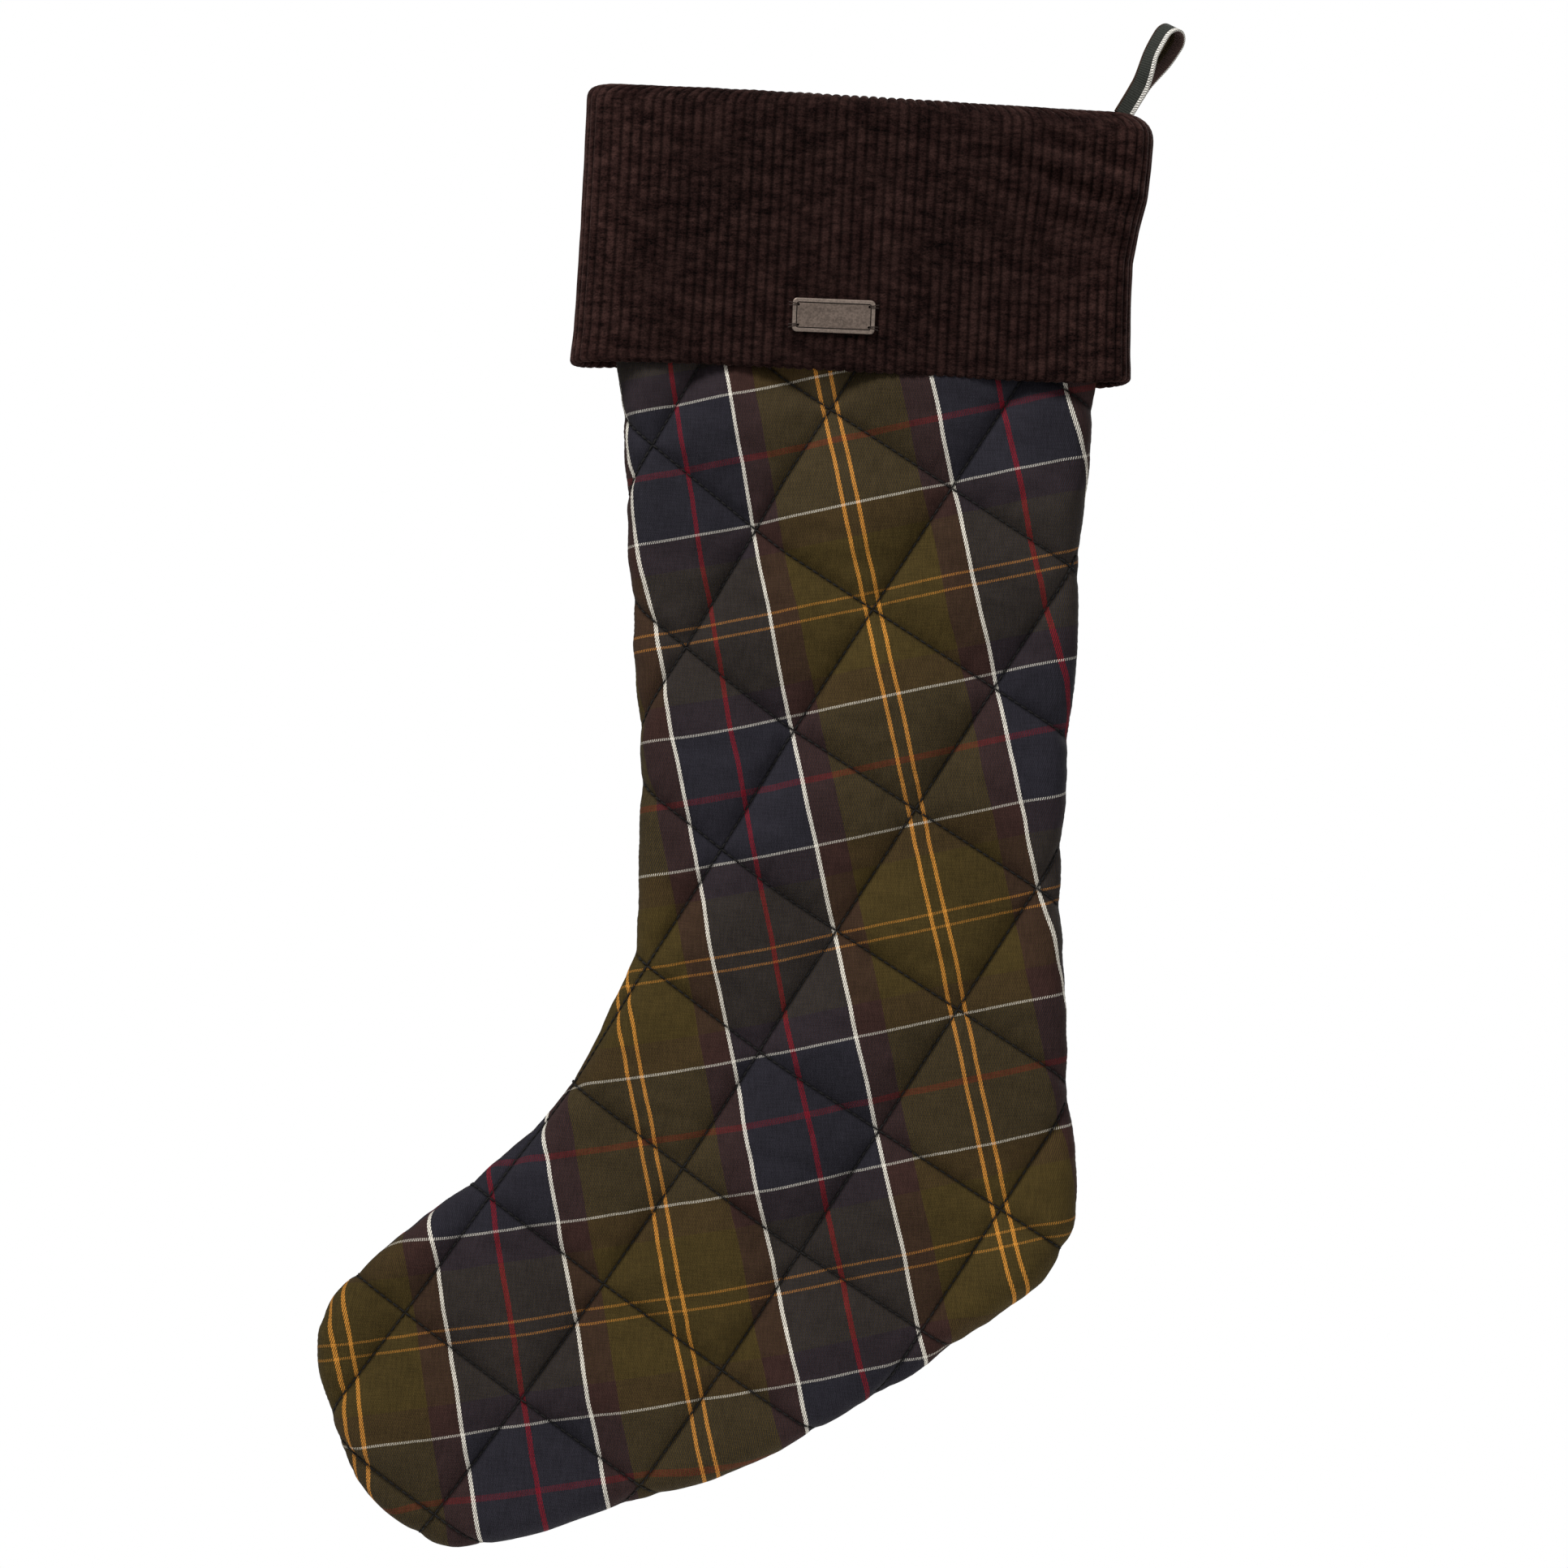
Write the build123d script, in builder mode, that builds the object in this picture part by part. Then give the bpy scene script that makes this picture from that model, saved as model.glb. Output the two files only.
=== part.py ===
from build123d import *
import os
from math import asin, cos, radians, sin, tan

os.makedirs("parts", exist_ok=True)

# Hanging stocking, quilted, with a turned-down corduroy cuff and a tape loop at the heel side.
# Millimetres. +Z is up, +X is the heel side, the badge faces -Y. The origin is the centre of the
# hook that the loop hangs on. The mid-plane y = 0 holds the seam between the front and back.

# Leg and foot
body_depth = 13.0       # half thickness of the stuffed leg
edge_round = 9.0        # how far the panels roll towards the side seam
seam_gap = 0.3          # half the space that the seam takes between the two panels
shell = 0.6
wadding = 4.0
lining = 0.4
binding_reach = (3.0, 14.0)  # of the seam binding, from the edge inwards
outline_corners = [      # corner (x, z) and its rounding, clockwise from the toe side of the mouth
    ((-191.0, 20.0), 30),
    ((-177.0, -240.0), 600),
    ((-177.3, -303.0), 60),
    ((-205.0, -357.5), 110),
    ((-287.5, -422.7), 32),
    ((-277.5, -476.0), 60),
    ((-243.5, -507.5), 32),
    ((-140.0, -477.5), 250),
    ((-85.0, -446.0), 250),
    ((-28.5, -405.0), 38),
    ((-36.0, -290.0), 500),
    ((-25.5, -130.0), 900),
    ((-4.0, 20.0), 30),
]

# Quilting
quilt_pitch = 48.0
quilt_turn = 33.0       # fall of the first set of lines, in degrees
quilt_crossing = (-98.8, -190.1)
thread = 0.6
thread_proud = 0.3

# Cuff
mouth_centre = (-100.0, 0.0, -19.5)
mouth_fall = 3.1        # degrees, the heel side hangs lower
cuff_half_width = 94.5
cuff_half_depth = 16.4
corduroy = 2.4
facing = 0.4
cuff_drop = 92.5
hem_margin = 1.5
rim_height = 5.0
rim_round = 2.2
lip_half_width = 82.3
lip_half_depth = 7.7
lip_drop = 15.0
mouth_stitch = 12.0     # depth of the stitch line that holds the lip to the lining

# Loop
hook_radius = 4.0
tape = 1.2
tape_width = 6.8
loop_lean = 31.5        # degrees from upright, towards the heel
loop_turn = 50.0        # degrees that the eye is turned about its stem, its near strand to the toe side
eye_apex = 17.0         # centre of the hook to where the strands would meet
eye_length = 16.0       # centre of the hook to the foot of the eye
eye_toe = 1.2           # stitched length where the strands already touch
joint_gap = 0.3
fold_axis = (-16.0, 0.0, -22.2)
tail_bottom = -34.0
tail_clearance = 0.1

# Badge
badge_centre = (-111.8, -93.3)
badge_fall = 2.3
badge_size = (27.5, 11.3)
badge_thickness = 1.5
badge_rim = 1.3
badge_groove = (0.35, 0.35)  # width and depth of the line inside the rim
badge_field_drop = 0.12
sewing_hole = 0.45
hole_spacing = (23.6, 6.8)
tack = 0.6

mouth = Plane(
    origin=mouth_centre,
    x_dir=(cos(radians(mouth_fall)), 0, -sin(radians(mouth_fall))),
    z_dir=(sin(radians(mouth_fall)), 0, cos(radians(mouth_fall))),
)
leg_top = mouth.offset(-rim_height - 0.1)
front_half = Plane.XZ.offset(seam_gap)


def outline(inset):
    """Flat shape of the leg and foot, drawn past the mouth and taken in by inset."""
    with BuildSketch() as flat:
        with BuildLine():
            FilletPolyline(
                *[corner for corner, _ in outline_corners],
                radius=[rounding for _, rounding in outline_corners],
                close=True,
            )
        make_face()
        if inset > 0:
            offset(amount=-inset)
    return flat.sketch


def half_pillow(inset):
    """Front half of the leg and foot as a solid, inset all over by the layers outside it."""
    with BuildPart() as pillow:
        with BuildSketch(front_half):
            add(outline(inset))
        extrude(amount=body_depth - inset - seam_gap)
        fillet(pillow.faces().sort_by(Axis.Y)[0].edges(), radius=edge_round - inset)
        split(bisect_by=leg_top, keep=Keep.BOTTOM)
    return pillow.part


def tube(half_width, half_depth, top, bottom):
    """Flattened tube, solid right through, between two depths below the mouth."""
    with BuildPart() as solid_tube:
        with BuildSketch(mouth.offset(-top)):
            RectangleRounded(2 * half_width, 2 * half_depth, radius=half_depth - 0.1)
        extrude(amount=top - bottom)
    return solid_tube.part


with BuildPart() as tail_pocket:
    with Locations((fold_axis[0], 0, (tail_bottom + mouth_centre[2]) / 2)):
        Box(
            tape_width + 2 * tail_clearance,
            2 * (tape + tail_clearance),
            mouth_centre[2] - tail_bottom + 2 * tail_clearance,
        )

# The quilted cloth: tartan shell, wadding and lining, one panel in front and one behind.
pillow_outside = half_pillow(0)
pillow_under_shell = half_pillow(shell)
pillow_under_wadding = half_pillow(shell + wadding)
pillow_inside = half_pillow(shell + wadding + lining)

with BuildPart() as shell_front:
    add(pillow_outside)
    add(pillow_under_shell, mode=Mode.SUBTRACT)
    add(tail_pocket.part, mode=Mode.SUBTRACT)

with BuildPart() as wadding_front:
    add(pillow_under_shell)
    add(pillow_under_wadding, mode=Mode.SUBTRACT)
    add(tail_pocket.part, mode=Mode.SUBTRACT)

with BuildPart() as lining_front:
    add(pillow_under_wadding)
    add(pillow_inside, mode=Mode.SUBTRACT)
    add(tail_pocket.part, mode=Mode.SUBTRACT)

# Two sets of stitch lines cross at right angles on the flat of the panel.
with BuildPart() as quilting_thread_front:
    with BuildSketch(Plane.XZ.offset(body_depth)):
        for turn in (-quilt_turn, 90 - quilt_turn):
            with Locations(Location((*quilt_crossing, 0), (0, 0, turn))):
                with GridLocations(1, quilt_pitch, 1, 17):
                    Rectangle(900, thread)
        add(outline(edge_round + 0.5), mode=Mode.INTERSECT)
    extrude(amount=thread_proud)
    split(bisect_by=leg_top, keep=Keep.BOTTOM)

# The seam round the edge: its thread, and the tape that binds the raw edges inside.
with BuildPart() as side_seam_thread:
    with BuildSketch(Plane.XZ.offset(-seam_gap)):
        add(outline(0.3))
        add(outline(0.3 + thread), mode=Mode.SUBTRACT)
    extrude(amount=2 * seam_gap)
    split(bisect_by=leg_top, keep=Keep.BOTTOM)

with BuildPart() as seam_binding:
    with BuildSketch(Plane.XZ.offset(-seam_gap)):
        add(outline(binding_reach[0]))
        add(outline(binding_reach[1]), mode=Mode.SUBTRACT)
    extrude(amount=2 * seam_gap)
    split(bisect_by=mouth.offset(-lip_drop), keep=Keep.BOTTOM)

# The cuff: corduroy over the rim and a short way down inside, with a facing behind it.
cuff_outside = tube(cuff_half_width, cuff_half_depth, 0, cuff_drop)
cuff_inside = tube(cuff_half_width - corduroy, cuff_half_depth - corduroy, rim_height, cuff_drop)
facing_outside = tube(
    cuff_half_width - corduroy, cuff_half_depth - corduroy, rim_height, cuff_drop - hem_margin
)
facing_inside = tube(
    cuff_half_width - corduroy - facing, cuff_half_depth - corduroy - facing, 0, cuff_drop
)
lip_outside = tube(lip_half_width, lip_half_depth, 0, lip_drop)
lip_inner_width = lip_half_width - corduroy
lip_inner_depth = lip_half_depth - corduroy
lip_inside = tube(lip_inner_width, lip_inner_depth, 0, lip_drop)

with BuildPart() as cuff_front:
    add(cuff_outside)
    fillet(cuff_front.faces().sort_by(Axis.Z)[-1].edges(), radius=rim_round)
    add(cuff_inside, mode=Mode.SUBTRACT)
    add(lip_outside)
    add(lip_inside, mode=Mode.SUBTRACT)
    split(bisect_by=front_half, keep=Keep.TOP)
    add(tail_pocket.part, mode=Mode.SUBTRACT)

with BuildPart() as cuff_facing_front:
    add(facing_outside)
    add(facing_inside, mode=Mode.SUBTRACT)
    split(bisect_by=front_half, keep=Keep.TOP)

with BuildPart() as cuff_seam_threads:
    with BuildSketch(mouth.offset(-rim_round)):
        with GridLocations(2 * cuff_half_width - corduroy, 1, 2, 1):
            Rectangle(corduroy / 2, 2 * seam_gap)
    extrude(amount=rim_round - cuff_drop)

with BuildPart() as mouth_seam_thread:
    add(tube(lip_inner_width, lip_inner_depth, mouth_stitch, mouth_stitch + thread))
    add(
        tube(lip_inner_width - thread_proud, lip_inner_depth - thread_proud, 0, lip_drop),
        mode=Mode.SUBTRACT,
    )

# The loop: one tape, doubled. Its tails are caught in the heel-side seam, its strands stand
# together as a stem, and they part round the hook as an eye.
stem_direction = Vector(sin(radians(loop_lean)), 0, cos(radians(loop_lean)))
hook_direction = Vector(0, -1, 0).rotate(Axis((0, 0, 0), stem_direction), loop_turn)
loop_side = Plane(
    origin=(0, 0, 0), x_dir=stem_direction.cross(hook_direction), z_dir=hook_direction
)
strand_slope = asin(hook_radius / eye_apex)
inner_touch = (hook_radius * cos(strand_slope), -hook_radius * sin(strand_slope))
outer_radius = hook_radius + tape
outer_touch = (outer_radius * cos(strand_slope), -outer_radius * sin(strand_slope))
eye_foot = (outer_radius / sin(strand_slope) - eye_length) * tan(strand_slope)

with BuildPart() as loop_eye:
    with BuildSketch(loop_side):
        Circle(outer_radius)
        Polygon(
            outer_touch,
            (eye_foot, -eye_length),
            (-eye_foot, -eye_length),
            (-outer_touch[0], outer_touch[1]),
            align=None,
        )
        Circle(hook_radius, mode=Mode.SUBTRACT)
        Polygon(
            inner_touch,
            (0, -eye_apex + eye_toe),
            (-inner_touch[0], inner_touch[1]),
            align=None,
            mode=Mode.SUBTRACT,
        )
    extrude(amount=tape_width / 2, both=True)

stem_top = Plane(
    origin=stem_direction * -(eye_length + joint_gap), x_dir=hook_direction, z_dir=stem_direction
)

with BuildPart() as loop_stem:
    with BuildSketch(Plane.XY.move(Location(fold_axis))):
        Rectangle(tape_width - 0.4, 2 * tape - 0.4)
    with BuildSketch(stem_top):
        Rectangle(tape_width, 2 * eye_foot)
    loft(ruled=True)
    with Locations(fold_axis):
        Cylinder(radius=tape, height=tape_width, rotation=(0, 90, 0))

with BuildPart() as loop_tails:
    with BuildSketch(Plane.XY.offset(tail_bottom)):
        with GridLocations(1, tape, 1, 2):
            with Locations((fold_axis[0], 0)):
                Rectangle(tape_width, tape)
    extrude(amount=-tail_bottom)
    split(bisect_by=mouth.offset(-0.3), keep=Keep.BOTTOM)

# The badge: a plate with a raised rim, sewn to the cuff through a hole in each corner.
badge_face = Plane(
    origin=(badge_centre[0], -cuff_half_depth, badge_centre[1]),
    x_dir=(cos(radians(badge_fall)), 0, -sin(radians(badge_fall))),
    z_dir=(0, -1, 0),
)

with BuildPart() as badge:
    with BuildSketch(badge_face):
        RectangleRounded(*badge_size, radius=1.6)
    extrude(amount=badge_thickness)
    fillet(badge.faces().sort_by(Axis.Y)[0].edges(), radius=0.4)
    with BuildSketch(badge_face.offset(badge_thickness)):
        RectangleRounded(badge_size[0] - 2 * badge_rim, badge_size[1] - 2 * badge_rim, radius=0.8)
    extrude(amount=-badge_field_drop, mode=Mode.SUBTRACT)
    with BuildSketch(badge_face.offset(badge_thickness)):
        RectangleRounded(badge_size[0] - 2 * badge_rim, badge_size[1] - 2 * badge_rim, radius=0.8)
        RectangleRounded(
            badge_size[0] - 2 * (badge_rim + badge_groove[0]),
            badge_size[1] - 2 * (badge_rim + badge_groove[0]),
            radius=0.5,
            mode=Mode.SUBTRACT,
        )
    extrude(amount=-badge_groove[1], mode=Mode.SUBTRACT)
    with BuildSketch(badge_face):
        with GridLocations(*hole_spacing, 2, 2):
            Circle(sewing_hole)
    extrude(amount=badge_thickness, mode=Mode.SUBTRACT)

# Each tack comes up through a hole, crosses the rim and goes down beside the short edge.
tack_end = badge_size[0] / 2 + tack
with BuildPart() as badge_threads:
    with BuildSketch(badge_face):
        with GridLocations(*hole_spacing, 2, 2):
            Circle(tack / 2)
        with GridLocations(2 * tack_end, hole_spacing[1], 2, 2):
            Circle(tack / 2)
    extrude(amount=badge_thickness + tack)
    with BuildSketch(badge_face.offset(badge_thickness)):
        with GridLocations(hole_spacing[0] / 2 + tack_end, hole_spacing[1], 2, 2):
            Rectangle(tack_end - hole_spacing[0] / 2, tack)
    extrude(amount=tack)

pieces = {
    "shell_front": shell_front,
    "wadding_front": wadding_front,
    "lining_front": lining_front,
    "quilting_thread_front": quilting_thread_front,
    "side_seam_thread": side_seam_thread,
    "seam_binding": seam_binding,
    "cuff_front": cuff_front,
    "cuff_facing_front": cuff_facing_front,
    "cuff_seam_threads": cuff_seam_threads,
    "mouth_seam_thread": mouth_seam_thread,
    "loop_eye": loop_eye,
    "loop_stem": loop_stem,
    "loop_tails": loop_tails,
    "badge": badge,
    "badge_threads": badge_threads,
}

# The back panel, lining, wadding, stitching and cuff are the front ones turned about the seam.
for name in [name for name in pieces if name.endswith("_front")]:
    with BuildPart() as turned:
        mirror(pieces[name].part, about=Plane.XZ)
    pieces[name.replace("_front", "_back")] = turned

for name, piece in pieces.items():
    piece.part.label = name
    export_step(piece.part, f"parts/{name}.step")
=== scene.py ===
import math

import bmesh
import bpy
import numpy as np
from mathutils import Matrix, Vector, noise


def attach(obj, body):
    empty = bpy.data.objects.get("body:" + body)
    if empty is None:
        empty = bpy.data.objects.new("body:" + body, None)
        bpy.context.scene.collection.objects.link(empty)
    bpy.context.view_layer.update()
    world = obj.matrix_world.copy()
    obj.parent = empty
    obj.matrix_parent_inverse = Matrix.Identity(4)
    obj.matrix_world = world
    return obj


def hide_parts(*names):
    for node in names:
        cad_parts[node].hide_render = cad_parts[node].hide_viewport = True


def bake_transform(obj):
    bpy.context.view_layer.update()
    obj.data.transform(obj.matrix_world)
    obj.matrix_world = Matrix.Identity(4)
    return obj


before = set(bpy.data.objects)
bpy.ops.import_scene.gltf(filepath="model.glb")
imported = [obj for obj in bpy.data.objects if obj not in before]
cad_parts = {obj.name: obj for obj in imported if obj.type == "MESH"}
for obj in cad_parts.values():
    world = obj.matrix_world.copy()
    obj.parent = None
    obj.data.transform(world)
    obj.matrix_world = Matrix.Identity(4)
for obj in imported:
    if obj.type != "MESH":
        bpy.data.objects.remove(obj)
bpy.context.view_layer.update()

mm = 0.001

# The camera looks level and square on at the front of the stocking, from two metres off.
# The stocking hangs free over a pale floor, in soft light from the upper left.
camera = bpy.data.objects.new("camera", bpy.data.cameras.new("camera"))
bpy.context.scene.collection.objects.link(camera)
bpy.context.scene.camera = camera
camera_distance = 2.0
front_plane = -0.006
view_width = 0.5216
camera.data.sensor_width = 36
camera.data.lens = 36 * camera_distance / view_width
camera.location = (-128.25 * mm, front_plane - camera_distance, -248.1 * mm)
camera.rotation_euler = (math.radians(90), 0, 0)
bpy.context.scene.view_settings.view_transform = "Standard"


def softbox(name, place, power, size):
    """A square soft light aimed at the middle of the leg."""
    light = bpy.data.lights.new(name, "AREA")
    light.shape = "SQUARE"
    light.size = size
    light.energy = power
    lamp = bpy.data.objects.new(name, light)
    lamp.location = place
    aim = Vector((-0.13, 0, -0.25)) - Vector(place)
    lamp.rotation_euler = aim.to_track_quat("-Z", "Y").to_euler()
    bpy.context.scene.collection.objects.link(lamp)


softbox("light_upper_left", (-0.75, -0.9, 1.15), 34, 0.6)
softbox("light_right", (1.2, -1.5, 0.2), 7, 1.2)
softbox("light_behind", (0.8, 1.5, 0.6), 26, 1.0)

world = bpy.data.worlds.new("white studio")
bpy.context.scene.world = world
world.use_nodes = True
air = world.node_tree
dim = air.nodes["Background"]
dim.inputs["Color"].default_value = (1, 1, 1, 1)
dim.inputs["Strength"].default_value = 0.26
backdrop = air.nodes.new("ShaderNodeBackground")
backdrop.inputs["Color"].default_value = (1, 1, 1, 1)
seen = air.nodes.new("ShaderNodeLightPath")
either = air.nodes.new("ShaderNodeMixShader")
air.links.new(seen.outputs["Is Camera Ray"], either.inputs[0])
air.links.new(dim.outputs[0], either.inputs[1])
air.links.new(backdrop.outputs[0], either.inputs[2])
air.links.new(either.outputs[0], air.nodes["World Output"].inputs["Surface"])

floor_mesh = bpy.data.meshes.new("floor")
bm = bmesh.new()
bmesh.ops.create_circle(
    bm, cap_ends=True, radius=0.7, segments=96, matrix=Matrix.Translation((-0.13, 0, -0.64))
)
bm.to_mesh(floor_mesh)
bm.free()
floor = bpy.data.objects.new("floor", floor_mesh)
bpy.context.scene.collection.objects.link(floor)
floor_paint = bpy.data.materials.new("floor_paint")
floor_paint.use_nodes = True
paint = floor_paint.node_tree.nodes["Principled BSDF"]
paint.inputs["Base Color"].default_value = (0.9, 0.9, 0.9, 1)
paint.inputs["Roughness"].default_value = 0.9
floor.data.materials.append(floor_paint)

# The tartan: a brushed cotton twill. Warp and weft carry the same set of stripes, yellow pair,
# olive, plum, white, navy and red, and the warp covers about two thirds of the face.
set_centre = (-98.8, -190.1)
set_lean = math.radians(12)
warp_stripes = (56.25, [
    (0, "olive"), (1.55, "yellow"), (2.95, "olive"), (24.6, "plum"), (34.05, "white"),
    (35.35, "navy"), (55.2, "red"),
])
weft_stripes = (54.2, [
    (0, "olive"), (1.72, "yellow"), (2.6, "olive"), (21.6, "plum"), (31.9, "white"),
    (32.7, "navy"), (52.95, "red"),
])
yarns = {
    "olive": (0.0560, 0.0375, 0.0098),
    "plum": (0.0400, 0.0185, 0.0150),
    "navy": (0.0205, 0.0190, 0.0255),
    "yellow": (0.56, 0.235, 0.036),
    "white": (0.80, 0.75, 0.65),
    "red": (0.160, 0.0080, 0.017),
}


class Wiring:
    """Adds nodes to one node tree and joins them up."""

    def __init__(self, tree):
        self.tree = tree

    def node(self, kind, links=(), **values):
        made = self.tree.nodes.new("ShaderNode" + kind)
        for key, value in values.items():
            setattr(made, key, value)
        for socket, source in dict(links).items():
            if hasattr(source, "links"):
                self.tree.links.new(source, made.inputs[socket])
            else:
                made.inputs[socket].default_value = source
        return made

    def sum(self, operation, *terms, clamp=False):
        made = self.node("Math", dict(enumerate(terms)), operation=operation, use_clamp=clamp)
        return made.outputs[0]

    def mix(self, share, one, other, blend="MIX"):
        made = self.node("Mix", {0: share, 6: one, 7: other}, data_type="RGBA", blend_type=blend)
        return made.outputs[2]

    def shade(self, colour, tone):
        """The colour made lighter or darker by the tone."""
        grey = self.node("CombineXYZ", {0: tone, 1: tone, 2: tone}).outputs[0]
        return self.mix(1.0, colour, grey, "MULTIPLY")

    def between(self, value, low, high, out_low=0.0, out_high=1.0):
        made = self.node(
            "MapRange", {0: value, 1: low, 2: high, 3: out_low, 4: out_high},
            interpolation_type="SMOOTHSTEP",
        )
        return made.outputs[0]

    def noise(self, where, scale, detail=2.0, rough=0.5):
        made = self.node(
            "TexNoise", {"Vector": where, "Scale": scale, "Detail": detail, "Roughness": rough}
        )
        return made.outputs["Fac"]

    def stretch(self, where, x, y, z=1.0, turn=0.0):
        made = self.node("Mapping", {"Vector": where, "Rotation": (0, 0, turn), "Scale": (x, y, z)})
        return made.outputs[0]

    def stripes(self, where, half, rows):
        """The yarn colours of one direction: the set runs out to its half width and back again."""
        folded = self.sum("PINGPONG", where, half)
        ramp = self.node("ValToRGB", {0: self.sum("DIVIDE", folded, half)})
        ramp.color_ramp.interpolation = "CONSTANT"
        stops = ramp.color_ramp.elements
        while len(stops) < len(rows):
            stops.new(1.0)
        for stop, (start, yarn) in zip(stops, rows):
            stop.position = start / half
        for stop, (start, yarn) in zip(stops, rows):
            stop.color = (*yarns[yarn], 1)
        return ramp.outputs[0]


def group(name, inputs, outputs):
    """An empty shader group with named sockets, and its wiring."""
    tree = bpy.data.node_groups.new(name, "ShaderNodeTree")
    for key, (kind, value) in inputs.items():
        made = tree.interface.new_socket(name=key, in_out="INPUT", socket_type="NodeSocket" + kind)
        if value is not None:
            made.default_value = value
    for key, kind in outputs.items():
        tree.interface.new_socket(name=key, in_out="OUTPUT", socket_type="NodeSocket" + kind)
    wires = Wiring(tree)
    start = tree.nodes.new("NodeGroupInput")
    end = tree.nodes.new("NodeGroupOutput")
    return tree, wires, start.outputs, end.inputs


# Twill: where the warp or the weft is on top, and the height of the threads.
twill, w, given, result = group(
    "twill weave",
    {"Across": ("Float", 0.0), "Along": ("Float", 0.0), "Warp share": ("Float", 0.64),
     "Step": ("Float", 0.62), "Rise": ("Float", 1.12)},
    {"Warp on top": "Float", "Height": "Float"},
)
diagonal = w.sum("ADD", w.sum("DIVIDE", given["Across"], given["Step"]),
                 w.sum("DIVIDE", given["Along"], given["Rise"]))
turn = w.sum("FRACT", diagonal)
edge = w.sum("ABSOLUTE", w.sum("SUBTRACT", turn, 0.5))
on_top = w.between(edge, w.sum("SUBTRACT", w.sum("MULTIPLY", given["Warp share"], 0.5), 0.09),
                   w.sum("ADD", w.sum("MULTIPLY", given["Warp share"], 0.5), 0.09), 1.0, 0.0)
rib = w.sum("SINE", w.sum("MULTIPLY", given["Along"], 2 * math.pi / 0.285))
w.tree.links.new(on_top, result["Warp on top"])
w.tree.links.new(w.sum("MULTIPLY_ADD", rib, 0.12, on_top), result["Height"])


def cloth_shader(name, roughness=0.92, sheen=0.0, sheen_rough=0.5, tint=(1, 1, 1)):
    """A material with plain cloth settings on its shader, and its wiring."""
    made = bpy.data.materials.new(name)
    made.use_nodes = True
    shader = made.node_tree.nodes["Principled BSDF"]
    shader.inputs["Roughness"].default_value = roughness
    shader.inputs["Specular IOR Level"].default_value = 0.10
    shader.inputs["Sheen Weight"].default_value = sheen
    shader.inputs["Sheen Roughness"].default_value = sheen_rough
    shader.inputs["Sheen Tint"].default_value = (*tint, 1)
    return made, Wiring(made.node_tree), shader


quilt_fall = math.radians(33)
square_side = 48.0


def tartan(name, shift=(0.0, 0.0)):
    """The tartan cloth, cut with its set shifted on the piece, with painted shade along its
    stitched creases.
    """
    made, w, shader = cloth_shader(name, 0.9, 0.02, 0.45, (0.9, 0.85, 0.7))
    place = w.node("TexCoord").outputs["UV"]
    split = w.node("SeparateXYZ", {0: place})
    across_flat = w.sum("MULTIPLY_ADD", split.outputs[0], 1000.0, -set_centre[0] + shift[0])
    up_flat = w.sum("MULTIPLY_ADD", split.outputs[1], 1000.0, -set_centre[1] + shift[1])
    across = w.sum("ADD", w.sum("MULTIPLY", across_flat, math.cos(set_lean)),
                   w.sum("MULTIPLY", up_flat, math.sin(set_lean)))
    along = w.sum("SUBTRACT", w.sum("MULTIPLY", across_flat, math.sin(set_lean)),
                  w.sum("MULTIPLY", up_flat, math.cos(set_lean)))
    drift = w.noise(w.stretch(place, 1, 1), 38.0, 1.0)
    across_drawn = w.sum("MULTIPLY_ADD", w.sum("SUBTRACT", drift, 0.5), 1.3, across)
    warp = w.stripes(across_drawn, *warp_stripes)
    weft = w.stripes(w.sum("ADD", along, 3.2), *weft_stripes)
    weave = w.node("Group", {"Across": across, "Along": along}, node_tree=twill)
    # painted shade: the weft lies deeper between the warp threads, so its colour is made a little
    # darker
    weft_shade = w.mix(1.0, weft, (0.72, 0.72, 0.72, 1), "MULTIPLY")
    colour = w.mix(weave.outputs["Warp on top"], weft_shade, warp)
    slub = w.noise(w.stretch(place, 2600, 150, 1, -set_lean), 1.0, 2.0)
    cross_slub = w.noise(w.stretch(place, 170, 2400, 1, -set_lean), 1.0, 2.0)
    fuzz = w.noise(place, 3300.0, 1.0)
    worn = w.noise(place, 22.0, 3.0)
    tone = w.sum("ADD", w.between(slub, 0.3, 0.7, -0.16, 0.16),
                 w.between(cross_slub, 0.3, 0.7, -0.12, 0.12))
    tone = w.sum("ADD", tone, w.between(worn, 0.35, 0.65, 0.90, 1.10))
    tone = w.sum("ADD", tone, w.between(fuzz, 0.35, 0.65, -0.10, 0.10))
    # painted shade: the colour is darkened near the quilting lines, where the stitching pinches the
    # cloth into a crease that falls in shadow
    fall_cos, fall_sin = math.cos(quilt_fall), math.sin(quilt_fall)
    gaps = []
    for by_across, by_up in ((fall_cos, -fall_sin), (fall_sin, fall_cos)):
        line = w.sum("ADD", w.sum("MULTIPLY", across_flat, by_across),
                     w.sum("MULTIPLY", up_flat, by_up))
        from_first = w.sum("SUBTRACT", line, shift[0] * by_across + shift[1] * by_up)
        gaps.append(w.sum("PINGPONG", from_first, square_side / 2))
    near = w.sum("MINIMUM", *gaps)
    tone = w.sum("MULTIPLY", tone, w.between(near, 0.1, 1.3, 0.40, 1.0))
    w.tree.links.new(w.shade(colour, tone), shader.inputs["Base Color"])
    bump = w.node("Bump", {"Height": weave.outputs["Height"], "Strength": 0.7, "Distance": 0.00012})
    lint = w.node(
        "Bump", {"Height": fuzz, "Strength": 0.5, "Distance": 0.0001, "Normal": bump.outputs[0]}
    )
    w.tree.links.new(lint.outputs[0], shader.inputs["Normal"])
    w.tree.links.new(w.between(fuzz, 0.2, 0.8, 0.82, 1.0), shader.inputs["Roughness"])
    return made


tartan_front = tartan("tartan_front")
tartan_back = tartan("tartan_back", (31.0, 17.0))

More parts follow.
